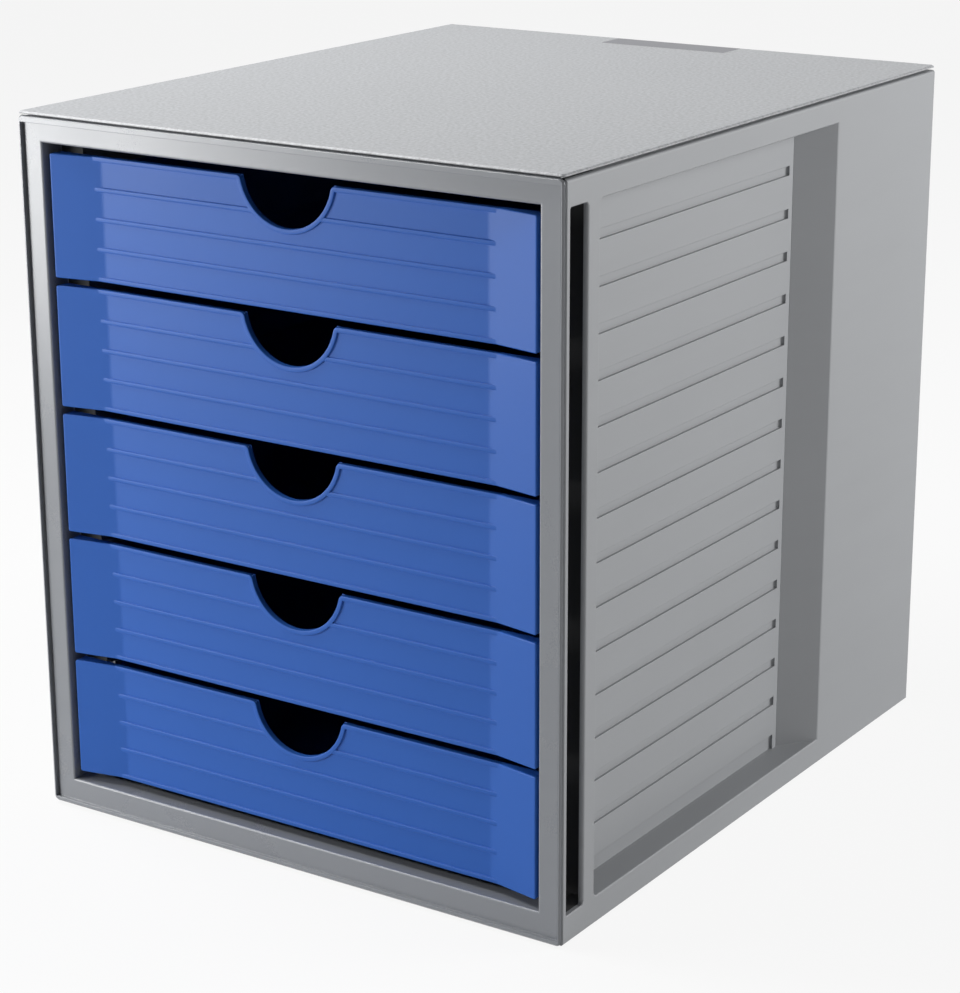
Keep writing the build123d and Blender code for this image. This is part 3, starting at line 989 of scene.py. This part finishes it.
    @staticmethod
    def bake(piece: bpy.types.Object) -> None:
        """Turn what a modifier makes into the piece's own plain mesh.

        Args:
            piece: An object with one modifier, which goes.
        """
        evaluated = piece.evaluated_get(bpy.context.evaluated_depsgraph_get())
        mesh = bpy.data.meshes.new_from_object(evaluated)
        piece.modifiers.clear()
        piece.data = mesh
        work = bmesh.new()
        work.from_mesh(mesh)
        bmesh.ops.recalc_face_normals(work, faces=work.faces)
        work.to_mesh(mesh)
        work.free()
        mesh.shade_smooth()
        mesh.set_sharp_from_angle(angle=math.radians(SHARP_ANGLE))

    def build(self, wardrobe: Wardrobe) -> None:
        """Make the drawers and put each on its own body.

        Args:
            wardrobe: The finishes.
        """
        plain = self.plain()
        ribs = RibTree(self.rib_rows)
        for index in range(self.count):
            body = self.name(index)
            piece = bpy.data.objects.new(f"blue_{body}", plain.copy())
            bpy.context.scene.collection.objects.link(piece)
            modifier = piece.modifiers.new("ribs", "NODES")
            modifier.node_group = ribs.tree
            for name, value in self.sizes().items():
                modifier[ribs.sockets[name]] = value
            modifier[ribs.sockets["Lift"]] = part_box(body)[0].z
            modifier[ribs.sockets["Finish"]] = wardrobe.materials[Slot.DRAWER]
            self.bake(piece)
            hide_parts(body)
            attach(piece, body)
            LOG.info("%s: %d faces", piece.name, len(piece.data.polygons))


# --------------------------------------------------------------------------- studio
MIDDLE = (0.0, 0.0, 0.16)
WHITE = (1.0, 1.0, 1.0, 1.0)


@dataclass(frozen=True)
class Lamp:
    """A soft box that points at a place."""

    name: str
    place: tuple[float, float, float]
    target: tuple[float, float, float]
    size: tuple[float, float]
    watts: float

    def build(self) -> None:
        """Hang the lamp."""
        data = bpy.data.lights.new(self.name, "AREA")
        data.shape = "RECTANGLE"
        data.size, data.size_y = self.size
        data.energy = self.watts
        lamp = bpy.data.objects.new(self.name, data)
        lamp.location = self.place
        aim = Vector(self.target) - Vector(self.place)
        lamp.rotation_euler = aim.to_track_quat("-Z", "Y").to_euler()
        bpy.context.scene.collection.objects.link(lamp)


@dataclass
class Studio:
    """Camera, lamps, white surroundings and a pale floor."""

    eye: tuple[float, float, float] = (0.667, -1.018, 0.508)
    pitch: float = 17.36
    turn: float = 33.65
    roll: float = -0.22
    lens: float = 98.5
    sensor: float = 36.0
    far: float = 50.0
    ambient: float = 0.09
    floor_size: float = 12.0
    floor_colour: Colour = (0.6, 0.6, 0.6)
    floor_grain: float = 300.0
    floor_speckle: float = 0.01
    floor_share: float = 0.10
    lamps: tuple[Lamp, ...] = (
        Lamp("upper left", (-0.7, -0.2, 1.15), MIDDLE, (0.6, 0.6), 15.0),
        Lamp("left card", (-0.85, -0.82, 0.29), (-0.1, -0.16, 0.18), (0.45, 0.6), 9.5),
        Lamp("right rear", (1.5, 1.1, 0.6), MIDDLE, (1.0, 1.0), 29.0),
    )

    def build(self) -> None:
        """Set up everything that isn't the object."""
        bpy.context.scene.view_settings.view_transform = "Standard"
        self.camera()
        self.surroundings()
        self.floor()
        for lamp in self.lamps:
            lamp.build()

    def camera(self) -> None:
        """Place the camera where the photograph was taken from."""
        data = bpy.data.cameras.new("camera")
        data.lens = self.lens
        data.sensor_width = self.sensor
        data.clip_end = self.far
        camera = bpy.data.objects.new("camera", data)
        aim = Euler((math.radians(90 - self.pitch), 0.0, math.radians(self.turn))).to_matrix()
        spin = Matrix.Rotation(math.radians(self.roll), 3, "Z")
        camera.rotation_euler = (aim @ spin).to_euler()
        camera.location = self.eye
        bpy.context.scene.collection.objects.link(camera)
        bpy.context.scene.camera = camera

    @staticmethod
    def shown(tree: NodeTree) -> Socket:
        """Find the rays that show the surroundings, directly, mirrored or through.

        Args:
            tree: Where the nodes go.

        Returns:
            One for such a ray, and nought for the others.
        """
        path = tree.add("ShaderNodeLightPath").outputs
        mirrored = tree.maths("MAXIMUM", path["Is Glossy Ray"], path["Is Transmission Ray"])
        return tree.maths("MAXIMUM", path["Is Camera Ray"], mirrored)

    def surroundings(self) -> None:
        """White where it is seen or mirrored, and a low even light elsewhere."""
        world = bpy.data.worlds.new("surroundings")
        world.use_nodes = True
        world.node_tree.nodes.clear()
        tree = NodeTree(world.node_tree)
        dim = tree.add("ShaderNodeBackground", {"Color": WHITE, "Strength": self.ambient})
        white = tree.add("ShaderNodeBackground", {"Color": WHITE, "Strength": 1.0})
        mix = tree.add(
            "ShaderNodeMixShader", {0: self.shown(tree), 1: dim.outputs[0], 2: white.outputs[0]}
        )
        tree.add("ShaderNodeOutputWorld", {"Surface": mix.outputs[0]})
        bpy.context.scene.world = world

    def floor(self) -> None:
        """Lay a pale floor that is nearly white to the camera and takes a soft shadow."""
        half = self.floor_size / 2
        mesh = bpy.data.meshes.new("floor")
        corners = [(-half, -half, 0), (half, -half, 0), (half, half, 0), (-half, half, 0)]
        mesh.from_pydata(corners, [], [(0, 1, 2, 3)])
        floor = bpy.data.objects.new("floor", mesh)
        bpy.context.scene.collection.objects.link(floor)
        material, tree = blank_material("floor white")
        place = tree.add("ShaderNodeTexCoord").outputs["Object"]
        tone = tree.spread(tree.noise(place, self.floor_grain, GRAIN_DETAIL), self.floor_speckle)
        lit = tree.add("ShaderNodeBsdfDiffuse", {"Color": tree.tinted(self.floor_colour, tone)})
        glow = tree.add("ShaderNodeEmission", {"Color": WHITE, "Strength": 1.0})
        share = tree.maths("MULTIPLY", self.shown(tree), 1 - self.floor_share)
        mix = tree.add("ShaderNodeMixShader", {0: share, 1: lit.outputs[0], 2: glow.outputs[0]})
        tree.add("ShaderNodeOutputMaterial", {"Surface": mix.outputs[0]})
        mesh.materials.append(material)
        floor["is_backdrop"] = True


def corners(box: Iterable[Vector]) -> list[list[float]]:
    """Turn two corners into plain lists of numbers."""
    return [[float(value) for value in corner] for corner in box]


def main() -> None:
    """Build and dress the whole object in its studio, and measure its size before and after."""
    logging.basicConfig(level=logging.INFO, format="%(name)s: %(message)s")
    solid_box = corners(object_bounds())
    wardrobe = Wardrobe()
    Housing().build(wardrobe)
    Drawers().build(wardrobe)
    Studio().build()
    {"cad": solid_box, "visual": corners(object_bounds())}


if __name__ == "__main__":
    main()
